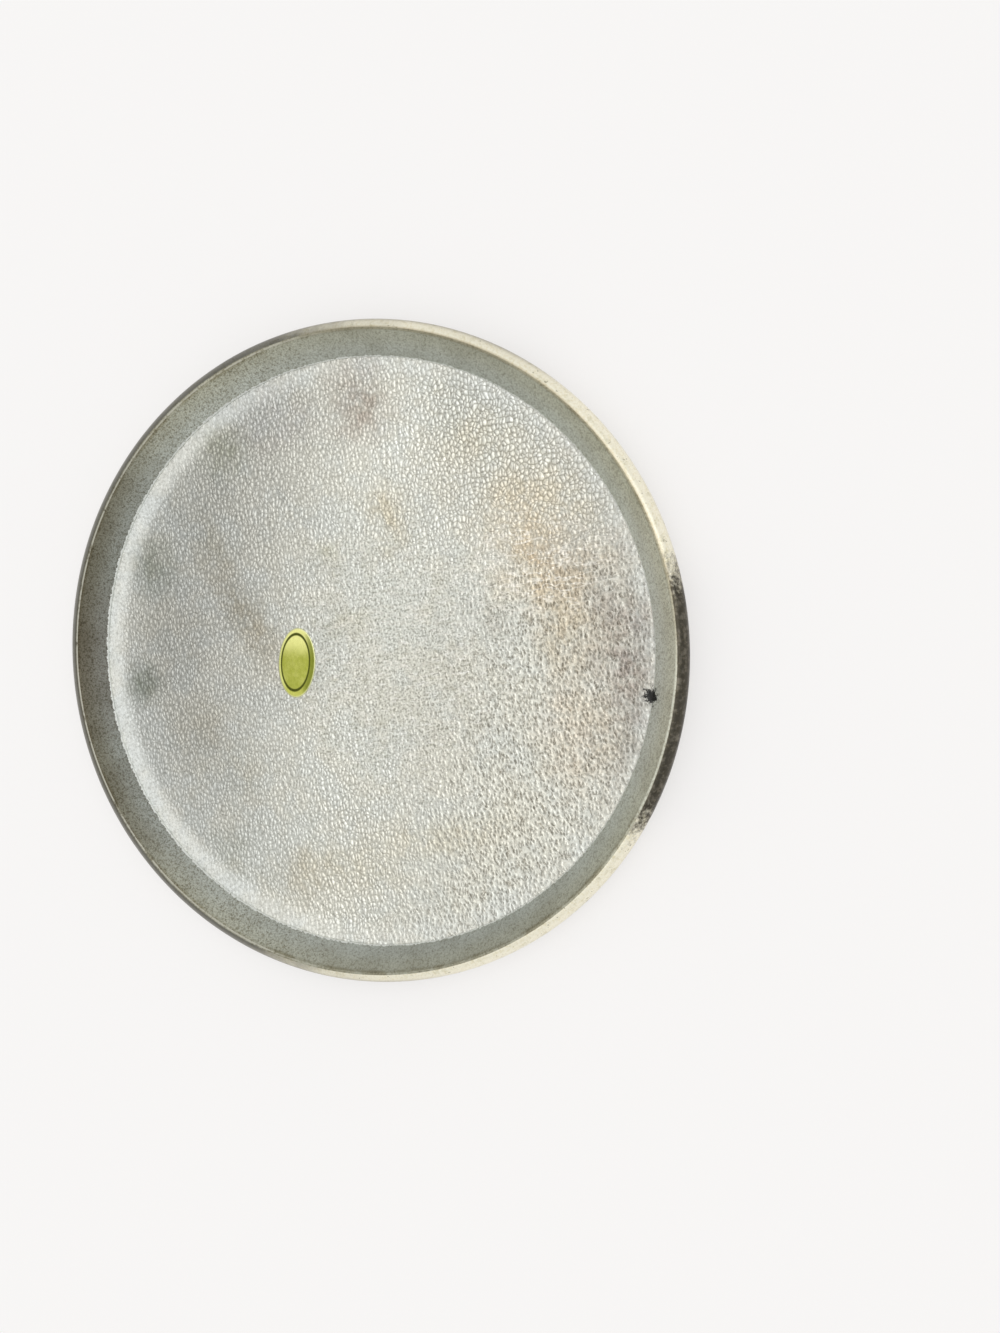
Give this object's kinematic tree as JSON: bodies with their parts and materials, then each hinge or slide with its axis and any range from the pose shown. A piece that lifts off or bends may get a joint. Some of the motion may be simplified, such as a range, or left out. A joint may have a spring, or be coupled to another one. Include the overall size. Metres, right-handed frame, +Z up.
{
  "type": "bottle coaster",
  "caption": "Round silver-plated bottle coaster with a shallow pebble-grained well, a sloping wall, a rolled rim, a blank foil label and a felt base.",
  "frame": {"origin": "centre of the felt's underside, on the table", "axes": "+Z up out of the well, -Y towards the person in front, +X to that person's right"},
  "size_m": [0.1296, 0.1296, 0.0084],
  "materials": {
    "ring_plate": "silver plate, satin wall inside and polished rim outside",
    "grained_plate": "silver plate over a fine embossed leather grain, lightly stained",
    "board": "pressed fibreboard, matte",
    "felt": "short charcoal felt",
    "gold_foil": "glossy gold foil label, bare, with a thin dark oval line"
  },
  "bodies": {
    "root": {"rim_ring": "ring_plate", "floor_plate": "grained_plate", "backing_board": "board", "felt_pad": "felt", "foil_label": "gold_foil"}
  },
  "joints": []
}
